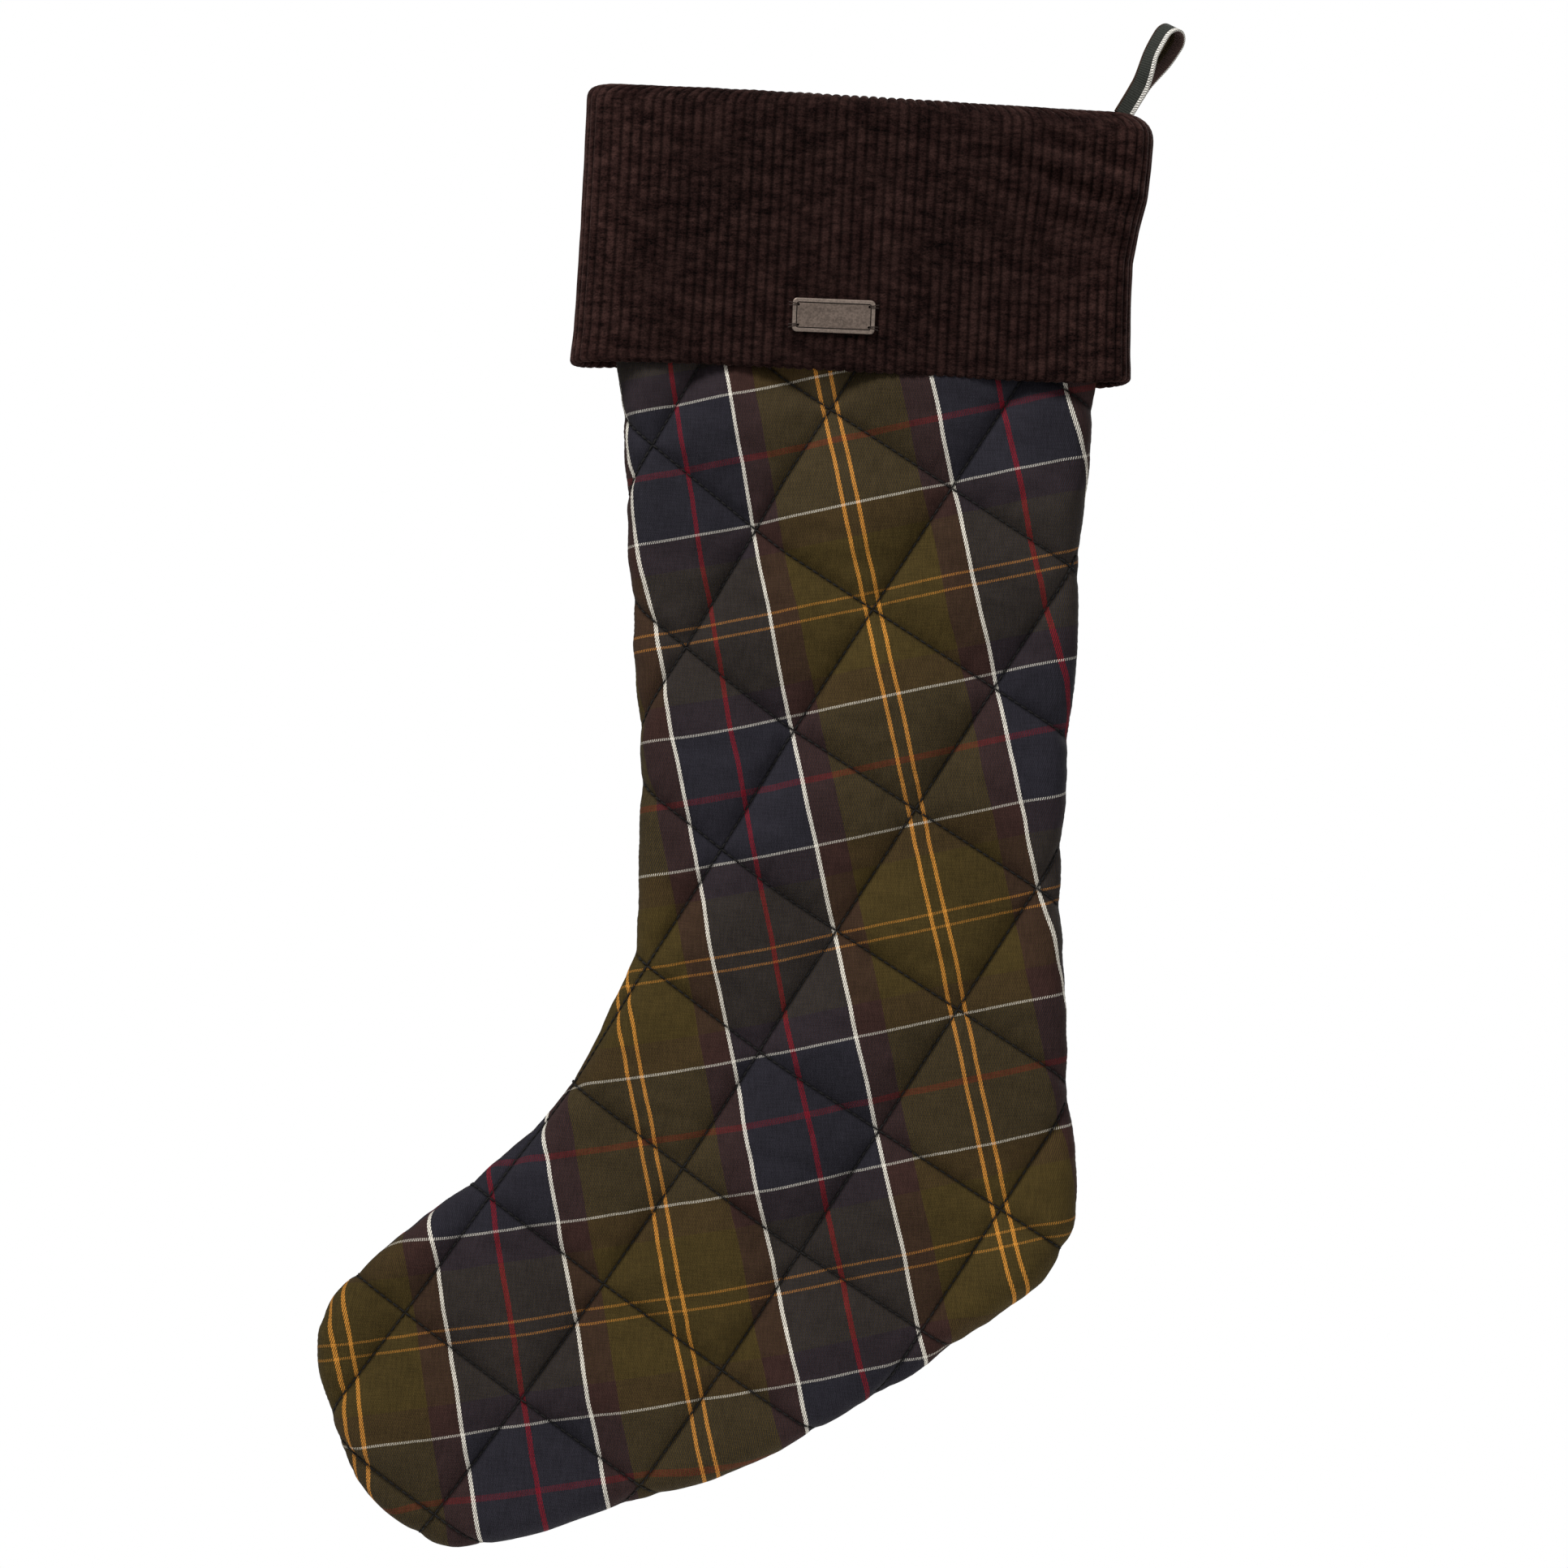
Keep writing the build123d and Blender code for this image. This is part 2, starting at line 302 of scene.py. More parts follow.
# The quilted panels, front and back: tartan over wadding over lining, stitched through in two
# inch squares that stand on their corners, and seamed together round the edge, right sides in.
pitch = square_side * mm
cells = 18
seam_inset = 1.2 * mm
edge_across, edge_deep = 8.5 * mm, 9.3 * mm
puff_height = 4.6 * mm
hem_depth = 92.5 * mm
mouth_fall = math.radians(3.1)
mouth_centre = Vector((-100 * mm, 0, -19.5 * mm))
mouth_up = np.array((math.sin(mouth_fall), math.cos(mouth_fall)))
mouth_right = np.array((math.cos(mouth_fall), -math.sin(mouth_fall)))
leg_top = -5.3 * mm


def above_mouth(flat):
    """Height of flat points above the line of the mouth."""
    return (flat - np.array((mouth_centre.x, mouth_centre.z))) @ mouth_up


def cut_line():
    """The edge of the leg and foot, read from the seam of the CAD model and spaced evenly."""
    bm = bmesh.new()
    bm.from_mesh(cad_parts["side_seam_thread"].data)
    bmesh.ops.remove_doubles(bm, verts=bm.verts, dist=1e-6)
    rest = [face for face in bm.faces if face.normal.y < 0.9]
    bmesh.ops.delete(bm, geom=rest, context="FACES")
    rim = [edge for edge in bm.edges if edge.is_boundary]
    vert, edge, loop = rim[0].verts[0], rim[0], []
    while not loop or vert is not loop[0]:
        loop.append(vert)
        vert = edge.other_vert(vert)
        edge = next(e for e in vert.link_edges if e.is_boundary and e is not edge)
    points = np.array([(v.co.x, v.co.z) for v in loop])
    bm.free()
    height = above_mouth(points)
    ends = height > height.max() - 0.5 * mm
    start = int(np.argmin(np.where(ends, points[:, 0], 1)))
    points = np.roll(points, -start, axis=0)
    finish = int(np.argmax(np.where(np.roll(ends, -start), points[:, 0], -1)))
    one, other = points[: finish + 1], np.roll(points, -1, axis=0)[finish - 1:][::-1]
    side = one if np.ptp(one[:, 0]) > np.ptp(other[:, 0]) else other
    side = side if side[0, 0] < side[-1, 0] else side[::-1]
    # the line runs on straight past the mouth at both ends
    run_on = 40 * mm
    first, last = side[0] - side[3], side[-1] - side[-4]
    side = np.vstack((side[0] + first / np.linalg.norm(first) * run_on, side,
                      side[-1] + last / np.linalg.norm(last) * run_on))
    run = np.concatenate(([0], np.cumsum(np.linalg.norm(np.diff(side, axis=0), axis=1))))
    even = np.linspace(0, run[-1], 420)
    side = np.column_stack([np.interp(even, run, side[:, axis]) for axis in (0, 1)])
    for _ in range(6):
        side[1:-1] = side[1:-1] * 0.5 + (side[:-2] + side[2:]) * 0.25
    return side


seam_line = cut_line()


def from_edge(flat):
    """How far inside the edge each flat point is, and the direction straight in."""
    depth, inward = np.zeros(len(flat)), np.zeros((len(flat), 2))
    start, step = seam_line[:-1], np.diff(seam_line, axis=0)
    length = (step ** 2).sum(1)
    normal = np.column_stack((-step[:, 1], step[:, 0])) / np.sqrt(length)[:, None]
    for first in range(0, len(flat), 2000):
        part = flat[first:first + 2000]
        gap = part[:, None] - start
        share = np.clip((gap * step).sum(2) / length, 0, 1)
        gap -= step * share[..., None]
        near = np.argmin((gap ** 2).sum(2), axis=1)
        rows = np.arange(len(part))
        sign = np.sign((gap[rows, near] * normal[near]).sum(1) + 1e-12)
        depth[first:first + 2000] = sign * np.sqrt((gap[rows, near] ** 2).sum(1))
        along = share[rows, near][:, None]
        after = np.minimum(near + 1, len(normal) - 1)
        before = np.maximum(near - 1, 0)
        soft = np.where(along > 0.5, normal[near] * (1.5 - along) + normal[after] * (along - 0.5),
                        normal[near] * (0.5 + along) + normal[before] * (0.5 - along))
        inward[first:first + 2000] = soft / np.linalg.norm(soft, axis=1)[:, None]
    return depth, inward


roll_angles = np.linspace(0, math.pi / 2, 60)
roll_line = np.column_stack(
    (edge_across * (1 - np.cos(roll_angles)), edge_deep * np.sin(roll_angles))
)
roll_run = np.concatenate(([0], np.cumsum(np.linalg.norm(np.diff(roll_line, axis=0), axis=1))))
roll_length = roll_run[-1]
turn_in = roll_length - edge_across - seam_inset


def drawn(flat):
    """How far the cloth of the foot is turned up against the leg's, most at the toe."""
    reach = np.clip((-128 * mm - flat[:, 0]) / (132 * mm), 0, 1.3)
    turned = 0.072 * reach * (flat[:, 1] + 446 * mm)
    return np.column_stack((turned, 9.3 * mm * reach ** 2 / (reach + 0.1)))


def quilt_coordinates(flat):
    """Where flat points lie along the two sets of quilting lines, in whole squares."""
    gap = flat - drawn(flat) - np.array(set_centre) * mm
    first = gap @ np.array((math.cos(quilt_fall), -math.sin(quilt_fall)))
    second = gap @ np.array((math.sin(quilt_fall), math.cos(quilt_fall)))
    return first / pitch, second / pitch


def wander(flat, size, seed):
    """Smooth unevenness from -1 to 1 over the cloth, of about the given size."""
    return np.array([noise.noise(Vector((p[0] / size, p[1] / size, seed))) for p in flat])


def lay_out(flat, lift, side, seed=0.0, bulge=1.0):
    """Carries flat points of a panel to their place on the stocking, lifted off the stitched level.
    lift holds the height at the stitches and the height in the middle of a square."""
    depth, inward = from_edge(flat)
    run = depth + turn_in
    angle = np.interp(run, roll_run, roll_angles)
    level = np.interp(run, roll_run, roll_line[:, 1])
    rolled = np.interp(run, roll_run, roll_line[:, 0]) + seam_inset - depth
    inset = np.where(run < roll_length, rolled, 0)
    groove = 0.9 * mm * np.exp(-(np.maximum(run, 0) / (1.6 * mm)) ** 2)
    first, second = quilt_coordinates(flat)
    nearest = [np.abs(c - np.round(c)) * 2 for c in (first, second)]
    dome = [1 - (1 - n) ** 3.2 for n in nearest]
    seam_ease = 1 - (1 - np.clip(run / (16 * mm), 0, 1)) ** 2.2
    swell = (dome[0] * dome[1]) ** 0.62 * seam_ease
    swell *= 1 + 0.10 * wander(flat, 30 * mm, seed + 3.1)
    hidden = np.clip((above_mouth(flat) + hem_depth + 2 * mm) / (8 * mm), 0, 1)
    swell *= 1 - 0.42 * hidden
    off = lift[0] + (lift[1] - lift[0]) * swell * bulge
    # the stitching gathers the cloth into small ripples that run out from each line
    close = [np.exp(-((n * pitch / 2) / (6.5 * mm)) ** 2) for n in nearest]
    ripple = close[1] * np.sin(first * 2 * math.pi * 7.3 + 3 * wander(flat, 21 * mm, seed + 9.7))
    ripple += close[0] * np.sin(second * 2 * math.pi * 7.9 + 3 * wander(flat, 19 * mm, seed + 5.3))
    away = np.minimum(np.minimum(*nearest) * 9, 1) * seam_ease
    off += 0.50 * mm * ripple * away * (1 - 0.7 * hidden) * bulge
    # slack folds lie across the leg here and there
    slanted = flat * np.array((0.32, 1.0)) + flat[:, ::-1] * np.array((0.0, 0.22))
    folds = wander(slanted, 7 * mm, seed + 21.0)
    off += 0.75 * mm * folds * np.minimum(swell * 2, 1) * (1 - hidden) * bulge
    planar = flat + inward * (inset + groove - np.cos(angle) * off)[:, None]
    y = side * (level + np.sin(angle) * off)
    return np.column_stack((planar[:, 0], y, planar[:, 1])), swell


def cut_panel(squares, margin=0.0):
    """A flat panel cut to the edge, or short of it, on a grid that follows the quilting."""
    bm = bmesh.new()
    reach = 8
    count = 2 * reach * squares
    turn = Matrix((
        (math.cos(quilt_fall), math.sin(quilt_fall), 0, set_centre[0] * mm),
        (0, 0, -1, 0),
        (-math.sin(quilt_fall), math.cos(quilt_fall), 0, set_centre[1] * mm),
        (0, 0, 0, 1),
    ))
    bmesh.ops.create_grid(bm, x_segments=count, y_segments=count, size=reach * pitch, matrix=turn)
    woven = np.array([(v.co.x, v.co.z) for v in bm.verts])
    laid = woven
    for _ in range(5):
        laid = woven + drawn(laid)
    for v, (x, z) in zip(bm.verts, laid):
        v.co.x, v.co.z = x, z
    centres = np.array([face.calc_center_median()[:] for face in bm.faces])[:, [0, 2]]
    depth, _ = from_edge(centres)
    edge = margin - turn_in
    outside = (depth < edge) | (above_mouth(centres) > leg_top)
    spare = [face for face, out in zip(bm.faces, outside) if out]
    bmesh.ops.delete(bm, geom=spare, context="FACES")
    for _ in range(3):
        thin = [v.link_faces[0] for v in bm.verts
                if v.is_boundary and len(v.link_faces) == 1 and len(v.link_edges) == 2]
        corner = [face for face in thin if sum(v.is_boundary for v in face.verts) == 4]
        if not corner:
            break
        bmesh.ops.delete(bm, geom=list(set(corner)), context="FACES")
    rim = [v for v in bm.verts if v.is_boundary]
    flat = np.array([(v.co.x, v.co.z) for v in rim])
    for _ in range(3):
        depth, inward = from_edge(flat)
        over = leg_top - above_mouth(flat)
        at_top = np.abs(over) < np.abs(depth - edge)
        flat = np.where(at_top[:, None], flat + mouth_up * over[:, None],
                        flat - inward * (depth - edge)[:, None])
    for v, (x, z) in zip(rim, flat):
        v.co.x, v.co.z = x, z
    ease = [v for v in bm.verts
            if not v.is_boundary and any(e.other_vert(v).is_boundary for e in v.link_edges)]
    for _ in range(4):
        bmesh.ops.smooth_vert(bm, verts=ease, factor=0.5, use_axis_x=True, use_axis_z=True)
    return bm


def stitched(bm):
    """The edges of the flat panel that lie along the quilting lines."""
    flat = np.array([(v.co.x, v.co.z) for v in bm.verts])
    on_line = [np.abs(c - np.round(c)) * pitch < 0.05 * mm for c in quilt_coordinates(flat)]
    bm.verts.index_update()
    return [e for e in bm.edges
            if any(line[e.verts[0].index] and line[e.verts[1].index] for line in on_line)]


def finish_piece(name, bm, material, replaces):
    """Makes the object of a finished bmesh, with its material, and hides the CAD parts it replaces.
    """
    mesh = bpy.data.meshes.new(name)
    bm.to_mesh(mesh)
    bm.free()
    obj = bpy.data.objects.new(name, mesh)
    bpy.context.scene.collection.objects.link(obj)
    mesh.materials.append(material)
    mesh.polygons.foreach_set("use_smooth", [True] * len(mesh.polygons))
    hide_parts(*replaces)
    return obj


def stuff(obj, held, cap):
    """Lets pressure fill a stitched panel out between the held points, no further than the cap."""
    group = obj.vertex_groups.new(name="held")
    group.add(held, 1.0, "REPLACE")
    cloth = obj.modifiers.new("stuffing", "CLOTH")
    feel = cloth.settings
    feel.quality = 6
    feel.mass = 0.12
    feel.tension_stiffness = feel.compression_stiffness = 20
    feel.shear_stiffness = 8
    feel.bending_stiffness = 0.15
    feel.vertex_group_mass = "held"
    feel.use_pressure = True
    feel.uniform_pressure_force = 3.0
    feel.shrink_min = -0.022
    feel.effector_weights.gravity = 0
    cloth.collision_settings.use_collision = False
    before = np.array([v.co[:] for v in obj.data.vertices])
    for step in range(1, 21):
        bpy.context.scene.frame_set(step)
    solved = obj.evaluated_get(bpy.context.evaluated_depsgraph_get())
    after = np.array([v.co[:] for v in solved.data.vertices])
    obj.modifiers.remove(cloth)
    bpy.context.scene.frame_set(1)
    moved = after - before
    out = np.array([v.normal[:] for v in obj.data.vertices])
    sunk = np.minimum((moved * out).sum(1), 0)
    moved -= out * sunk[:, None]
    far = np.linalg.norm(moved, axis=1)
    moved *= np.minimum(1, cap / np.maximum(far, 1e-9))[:, None]
    obj.data.vertices.foreach_set("co", (before + moved).ravel())
    obj.vertex_groups.clear()


panels = (("front", -1, 0.0, tartan_front), ("back", 1, 40.0, tartan_back))
stitch_rows = {}
seam_rows = {}
for side, facing, seed, cloth_material in panels:
    bm = cut_panel(cells)
    flat = np.array([(v.co.x, v.co.z) for v in bm.verts])
    panel_area = sum(face.calc_area() for face in bm.faces)
    woven = flat - drawn(flat)
    bm.verts.index_update()
    uv = bm.loops.layers.uv.new("cut")
    for face in bm.faces:
        for corner in face.loops:
            corner[uv].uv = woven[corner.vert.index]
    crease = bm.edges.layers.float.new("crease_edge")
    lines = stitched(bm)
    for edge in lines:
        edge[crease] = 1.0
    edge_verts = {v.index for v in bm.verts if v.is_boundary}
    held = sorted({v.index for e in lines for v in e.verts} | edge_verts)
    placed, _ = lay_out(flat, (0.0, puff_height), facing, seed)
    for v, place in zip(bm.verts, placed):
        v.co = place
    if facing > 0:
        bmesh.ops.reverse_faces(bm, faces=bm.faces)
    rows = [(e.verts[0].index, e.verts[1].index) for e in lines if not e.is_boundary]
    rim = [(e.verts[0].index, e.verts[1].index) for e in bm.edges if e.is_boundary]
    shell = finish_piece(
        f"shell_{side}_quilted", bm, cloth_material, [f"shell_{side}"]
    )
    stuff(shell, held, 2.6 * mm)
    points = np.array([v.co[:] for v in shell.data.vertices])
    normals = np.array([v.normal[:] for v in shell.data.vertices])
    stitch_rows[side] = (points, normals, rows, flat)
    seam_rows[side] = (points, rim, flat)
    thick = shell.modifiers.new("cloth thickness", "SOLIDIFY")
    thick.thickness = 0.5 * mm
    thick.offset = -1
    fine = shell.modifiers.new("smooth", "SUBSURF")
    fine.levels = fine.render_levels = 1
    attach(shell, "root")

# The stitches: black thread, one short stitch after another along every quilting line, each one
# sunk in its crease, and a row in the groove of the side seam.
def thread_material(name, colour):
    made, w, shader = cloth_shader(name, 0.75, 0.05)
    place = w.node("TexCoord").outputs["Object"]
    ply = w.noise(place, 5200.0, 2.0)
    w.tree.links.new(w.mix(ply, (*[c * 0.55 for c in colour], 1), (*[c * 1.45 for c in colour], 1)),
                     shader.inputs["Base Color"])
    bump = w.node("Bump", {"Height": ply, "Strength": 0.6, "Distance": 0.0001})
    w.tree.links.new(bump.outputs[0], shader.inputs["Normal"])
    return made


black_thread = thread_material("black_thread", (0.012, 0.011, 0.0105))


def one_stitch():
    """A stitch one long, one across and one high: thread that comes up, lies flat and goes down."""
    bm = bmesh.new()
    bmesh.ops.create_cone(bm, cap_ends=True, segments=6, radius1=1, radius2=1, depth=1)
    long_edges = [e for e in bm.edges if abs(e.verts[0].co.z - e.verts[1].co.z) > 0.5]
    bmesh.ops.subdivide_edges(bm, edges=long_edges, cuts=3)
    for v in bm.verts:
        along = v.co.z + 0.5
        hump = math.sin(math.pi * min(max(along, 0.0), 1.0)) ** 0.5
        v.co = (along, v.co.x * (0.5 + 0.5 * hump), v.co.y * (0.5 + 0.5 * hump) + hump - 0.7)
    bmesh.ops.recalc_face_normals(bm, faces=bm.faces)
    pattern = bpy.data.meshes.new("stitch")
    bm.to_mesh(pattern)
    bm.free()
    return pattern


def sew(name, stitches, radius, material, replaces):
    """All the stitches of one seam or quilted panel as one piece."""
    bm = bmesh.new()
    pattern = one_stitch()
    for start, end, up in stitches:
        along = Vector(end) - Vector(start)
        width = Vector(up).cross(along).normalized()
        lift = along.cross(width).normalized()
        turn = Matrix((along, width * radius, lift * radius)).transposed().to_4x4()
        turn.translation = start
        laid = pattern.copy()
        laid.transform(turn)
        bm.from_mesh(laid)
        bpy.data.meshes.remove(laid)
    bpy.data.meshes.remove(pattern)
    obj = finish_piece(name, bm, material, replaces)
    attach(obj, "root")
    return obj


for side in ("front", "back"):
    points, normals, rows, flat = stitch_rows[side]
    stitches = []
    for one, other in rows:
        if above_mouth(flat[[one]])[0] > -hem_depth + 12 * mm:
            continue
        a, b = points[one], points[other]
        up = normals[one] + normals[other]
        up /= np.linalg.norm(up)
        base = up * 0.22 * mm
        stitches.append((a + (b - a) * 0.07 + base, a + (b - a) * 0.93 + base, up))
    sew(f"quilting_stitches_{side}", stitches, 0.30 * mm, black_thread,
        [f"quilting_thread_{side}"])

points, rim, flat = seam_rows["front"]
stitches = []
for one, other in rim:
    if above_mouth(flat[[one, other]]).min() > leg_top - 3 * mm:
        continue
    a, b = Vector(points[one]), Vector(points[other])
    a.y = b.y = 0
    _, inward = from_edge(np.array([(a.x, a.z)]))
    out = Vector((-inward[0][0], 0, -inward[0][1]))
    stitches.append((a.lerp(b, 0.1) - out * 0.15 * mm, a.lerp(b, 0.9) - out * 0.15 * mm, out))
sew("side_seam_stitches", stitches, 0.3 * mm, black_thread, ["side_seam_thread"])

# Wadding and lining of each panel: white polyester wadding squeezed flat at every stitch line,
# and a plain dark green lining that faces the inside of the stocking.
wadding_material, w, shader = cloth_shader("quilt_wadding", 0.95, 0.2)
place = w.node("TexCoord").outputs["Object"]
tangle = w.noise(place, 900.0, 4.0, 0.7)
fluff = w.mix(tangle, (0.62, 0.61, 0.58, 1), (0.9, 0.89, 0.87, 1))
w.tree.links.new(fluff, shader.inputs["Base Color"])
fibre = w.node("Bump", {"Height": tangle, "Strength": 0.8, "Distance": 0.0006})
w.tree.links.new(fibre.outputs[0], shader.inputs["Normal"])

plain, w, given, result = group(
    "plain weave",
    {"Place": ("Vector", None), "Threads per metre": ("Float", 2600.0)},
    {"Height": "Float"},
)
split = w.node("SeparateXYZ", {0: given["Place"]})
waves = []
for axis in (0, 1):
    threads = w.sum("MULTIPLY", split.outputs[axis], given["Threads per metre"])
    waves.append(w.sum("SINE", w.sum("MULTIPLY", threads, math.pi)))
w.tree.links.new(w.sum("MULTIPLY_ADD", w.sum("MULTIPLY", *waves), 0.5, 0.5), result["Height"])


def plain_cloth(name, dark, light, where_from="UV", threads=2600.0):
    """Plain woven cloth in one colour, with painted shade between its threads and painted light on
    them, and a little unevenness.
    """
    made, w, shader = cloth_shader(name, 0.9, 0.05)
    place = w.node("TexCoord").outputs[where_from]
    if where_from == "Object":
        laid_flat = w.node("Mapping", {"Vector": place, "Rotation": (math.radians(90), 0, 0)})
        place = laid_flat.outputs[0]
    weave = w.node("Group", {"Place": place, "Threads per metre": threads}, node_tree=plain)
    uneven = w.noise(place, 60.0, 3.0)
    # painted shade: the colour is darker low between the threads and lighter on their crests,
    # shifted by a little random unevenness
    share = w.sum(
        "MULTIPLY_ADD", w.sum("SUBTRACT", uneven, 0.5), 0.9, weave.outputs["Height"], clamp=True
    )
    w.tree.links.new(w.mix(share, (*dark, 1), (*light, 1)), shader.inputs["Base Color"])
    bump = w.node("Bump", {"Height": weave.outputs["Height"], "Strength": 0.5, "Distance": 0.0001})
    w.tree.links.new(bump.outputs[0], shader.inputs["Normal"])
    return made


lining_material = plain_cloth("lining_cloth", (0.013, 0.016, 0.013), (0.030, 0.036, 0.030))


def inner_layer(name, outer, inner, margin, material, replaces):
    """A closed layer of the panel between two lifts, each at the stitches and in the squares."""
    bm = cut_panel(8, margin)
    uv = bm.loops.layers.uv.new("cut")
    for face in bm.faces:
        for corner in face.loops:
            corner[uv].uv = (corner.vert.co.x, corner.vert.co.z)
    crease = bm.edges.layers.float.new("crease_edge")
    for edge in stitched(bm):
        edge[crease] = 1.0
    under = bmesh.ops.extrude_face_region(bm, geom=bm.faces[:], use_keep_orig=True)["geom"]
    under = {g for g in under if isinstance(g, bmesh.types.BMVert)}
    for lift, verts in ((outer, [v for v in bm.verts if v not in under]), (inner, list(under))):
        flat = np.array([(v.co.x, v.co.z) for v in verts])
        places, _ = lay_out(flat, lift, facing, seed, 0.97)
        for v, place in zip(verts, places):
            v.co = place
    bmesh.ops.recalc_face_normals(bm, faces=bm.faces)
    obj = finish_piece(name, bm, material, replaces)
    fine = obj.modifiers.new("smooth", "SUBSURF")
    fine.levels = fine.render_levels = 1
    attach(obj, "root")
    return obj


for side, facing, seed, _ in panels:
    pad = inner_layer(
        f"wadding_{side}_pad", (-1.0 * mm, puff_height - 1.3 * mm), (-1.2 * mm, -1.6 * mm),
        3.5 * mm, wadding_material, [f"wadding_{side}"],
    )
    liner = inner_layer(
        f"lining_{side}_quilted", (-1.25 * mm, -1.7 * mm), (-1.55 * mm, -2.1 * mm),
        2.0 * mm, lining_material, [f"lining_{side}"],
    )

seam_tape = plain_cloth("seam_tape", (0.012, 0.013, 0.012), (0.026, 0.028, 0.026), "Object", 1500.0)
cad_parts["seam_binding"].data.materials.clear()
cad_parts["seam_binding"].data.materials.append(seam_tape)

# The cuff: eight-wale cotton corduroy, dark brown. It starts as a lip inside the mouth, goes
# over the rim and down the outside, and its hem is turned up inside.
cuff_half_width, cuff_half_depth = 94.0 * mm, 16.2 * mm
lip_half_width, lip_half_depth = 80.5 * mm, 5.6 * mm
wale_count = 62
points_per_wale = 8
wale_height = 0.85 * mm
pile_thickness = 1.2 * mm

corduroy, w, shader = cloth_shader("corduroy", 0.95, 0.10, 0.35, (0.90, 0.55, 0.48))
shader.inputs["Specular IOR Level"].default_value = 0.04
uv_place = w.node("TexCoord").outputs["UV"]
split = w.node("SeparateXYZ", {0: uv_place})
across_wale = w.sum("FRACT", split.outputs[0])
ridge = w.sum("SUBTRACT", 1.0, w.sum("ABSOLUTE", w.sum("MULTIPLY_ADD", across_wale, 2.0, -1.0)))
crush_map = w.stretch(uv_place, 0.34, 210.0)
crush = w.noise(crush_map, 1.0, 3.0, 0.6)
wide_crush = w.noise(w.stretch(uv_place, 0.07, 26.0), 1.0, 2.0)
brushed = w.noise(w.stretch(uv_place, 1.0, 700.0), 1.0, 2.0)
pile = w.noise(w.stretch(uv_place, 5.0, 1700.0), 1.0, 3.0, 0.65)
tone = w.sum("ADD", w.between(crush, 0.32, 0.68, -0.24, 0.24),
             w.between(wide_crush, 0.3, 0.7, 0.84, 1.16))
tone = w.sum("ADD", tone, w.between(brushed, 0.34, 0.66, -0.30, 0.30))
tone = w.sum("ADD", tone, w.between(pile, 0.34, 0.66, -0.42, 0.42))
# painted shade: the colour is darkened in the grooves between the wales, where the raised wales
# cast shade
groove_shade = w.between(ridge, 0.0, 0.6, 0.42, 1.12)
# worn flat in patches, where the wales hardly show, so the painted groove shade is weaker there
flattened = w.between(w.noise(w.stretch(uv_place, 0.13, 40.0), 1.0, 2.0), 0.42, 0.68, 0.0, 0.75)
groove_shade = w.sum("MULTIPLY_ADD", flattened, w.sum("SUBTRACT", 0.80, groove_shade), groove_shade)
tone = w.sum("MULTIPLY", tone, groove_shade)
# the pile stands up and catches more light where the cloth turns at its sides
from_middle = w.sum("ABSOLUTE", w.sum("MULTIPLY_ADD", split.outputs[0], 1 / wale_count, -0.5))
tone = w.sum("MULTIPLY", tone, w.between(from_middle, 0.26, 0.46, 0.86, 1.30))
brown = w.mix(w.between(crush, 0.3, 0.7), (0.0130, 0.0054, 0.0047, 1), (0.0215, 0.0102, 0.0086, 1))
w.tree.links.new(w.shade(brown, tone), shader.inputs["Base Color"])
tuft = w.node("Bump", {"Height": w.sum("ADD", pile, brushed), "Strength": 0.8, "Distance": 0.00035})
w.tree.links.new(tuft.outputs[0], shader.inputs["Normal"])

quarter = np.linspace(0, math.pi / 2, 40)


def half_section(half_width, half_depth, corner, share):
    """Points of one half of a flattened tube, from its toe-side seam to its heel-side seam."""
    bend = (1 - np.sin(quarter) ** (2 / 2.5), np.cos(quarter) ** (2 / 2.5))
    x = half_width - corner * bend[0][::-1]
    y = half_depth * bend[1][::-1]
    x = np.concatenate((-x, x[::-1]))
    y = np.concatenate((y, y[::-1]))
    run = np.concatenate(([0], np.cumsum(np.hypot(np.diff(x), np.diff(y)))))
    return np.interp(share * run[-1], run, x), np.interp(share * run[-1], run, y)


def cuff_rows():
    """Depth below the mouth line, and the share of the way from lip to outside, down the cloth."""
    lip = [(-z * mm, 0.0) for z in np.linspace(13.5, 5.0, 5)]
    over = [(-5.0 * mm + 5.0 * mm * math.sin(a), 0.5 - 0.5 * math.cos(a))
            for a in np.linspace(0.15, math.pi - 0.15, 13)]
    down = [(-z * mm, 1.0) for z in np.linspace(6.0, 91.0, 44)]
    hem = [(-91.0 * mm - 1.3 * mm * math.sin(a), 1.0 + 0.1 * (1 - math.cos(a)))
           for a in np.linspace(0.3, math.pi - 0.2, 7)]
    turned = [(-z * mm, 1.2) for z in np.linspace(90.5, 80.0, 5)]
    return lip + over + down + hem + turned


def to_stocking(across, y, up):
    """From the tilted frame of the mouth to the stocking."""
    return Vector((mouth_centre.x + across * mouth_right[0] + up * mouth_up[0], y,
                   mouth_centre.z + across * mouth_right[1] + up * mouth_up[1]))


# how far each side edge stands out or in, in millimetres, by depth below the mouth
heel_edge = [(0, 1.1), (-6, 1.2), (-16, 0.9), (-27, 0.2), (-38, -1.9), (-50, -3.5),
             (-65, -3.3), (-82, -2.6), (-92, -2.1)]
toe_edge = [(0, -0.5), (-27, -0.7), (-54, -0.7), (-81, -0.3), (-92, 0.4)]


def edge_shift(points, depth):
    """The shift of a side edge at a depth."""
    depths, shifts = zip(*points[::-1])
    return float(np.interp(depth / mm, depths, shifts)) * mm


def drawn_side(across, depth):
    """How far the cloth at this place moves with the edge of its side."""
    side = across / cuff_half_width
    return (edge_shift(heel_edge, depth) * max(side, 0) ** 2
            - edge_shift(toe_edge, depth) * max(-side, 0) ** 2)


